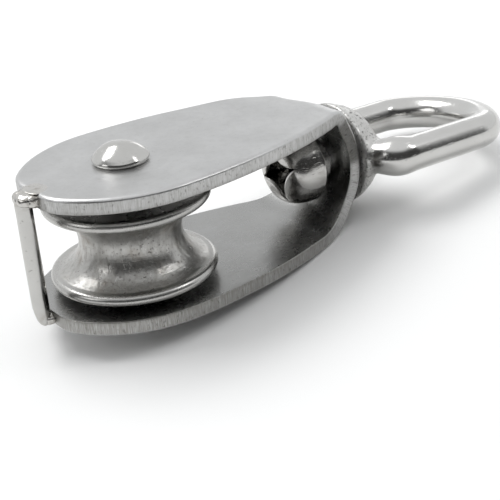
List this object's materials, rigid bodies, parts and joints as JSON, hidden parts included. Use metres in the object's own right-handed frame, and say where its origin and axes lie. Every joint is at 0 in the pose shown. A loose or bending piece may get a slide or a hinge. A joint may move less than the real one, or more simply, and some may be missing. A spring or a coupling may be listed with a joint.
{
  "type": "single sheave swivel block",
  "caption": "Small steel pulley block: grooved sheave on a riveted axle between the cheeks of a bent strap, with a tail bar and a swivelling eye.",
  "frame": {"origin": "on the axle's axis, midway between the inner faces of the two cheeks", "axes": "+Z along the axle, the block lying on one cheek; +X from the tail bar along the block to the swivel eye; +Y across the cheeks"},
  "size_m": [0.0848, 0.0278, 0.0256],
  "materials": {
    "satin_plate": "satin rolled plate with sheared edges",
    "turned_sheave": "turned rims, dull groove",
    "polished_rivet": "polished",
    "polished_rod": "drawn rod, polished",
    "weld_metal": "polished-over weld",
    "cast_eye": "cast, polished ring and pitted boss",
    "polished_collar": "polished"
  },
  "bodies": {
    "frame": {"cheek_strap": "satin_plate", "axle_rivet": "polished_rivet", "tail_bar": "polished_rod", "tail_bar_welds": "weld_metal"},
    "sheave": {"sheave": "turned_sheave"},
    "swivel": {"swivel_eye": "cast_eye", "crimped_collar": "polished_collar"}
  },
  "joints": [
    {"name": "sheave_turn", "type": "hinge", "parent": "frame", "child": "sheave", "pos_m": [0, 0, 0], "axis": [0, 0, 1], "continuous": true},
    {"name": "eye_swivel", "type": "hinge", "parent": "frame", "child": "swivel", "pos_m": [0.0363, 0, 0], "axis": [1, 0, 0], "continuous": true}
  ]
}
